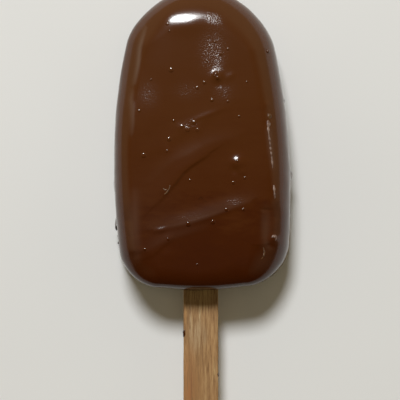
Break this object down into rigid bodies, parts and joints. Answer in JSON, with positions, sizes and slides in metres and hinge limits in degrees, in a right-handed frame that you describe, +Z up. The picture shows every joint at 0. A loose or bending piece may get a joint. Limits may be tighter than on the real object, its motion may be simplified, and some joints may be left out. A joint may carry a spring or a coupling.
{
  "type": "brownie pop",
  "caption": "Moulded chocolate-coated brownie bar with a rounded tip, lying flat on its back, on a flat wooden stick.",
  "frame": {"origin": "under the middle of the whole object, on the plane its flat back rests on", "axes": "+Z up out of the moulded face, +Y from the stick's free end to the bar's rounded tip"},
  "size_m": [0.0516, 0.1426, 0.0248],
  "materials": {
    "chocolate": "smooth moulded dark chocolate coating, satin gloss",
    "wood": "plain unvarnished birch, sanded"
  },
  "bodies": {
    "root": {"chocolate_bar": "chocolate", "stick": "wood"}
  },
  "joints": []
}
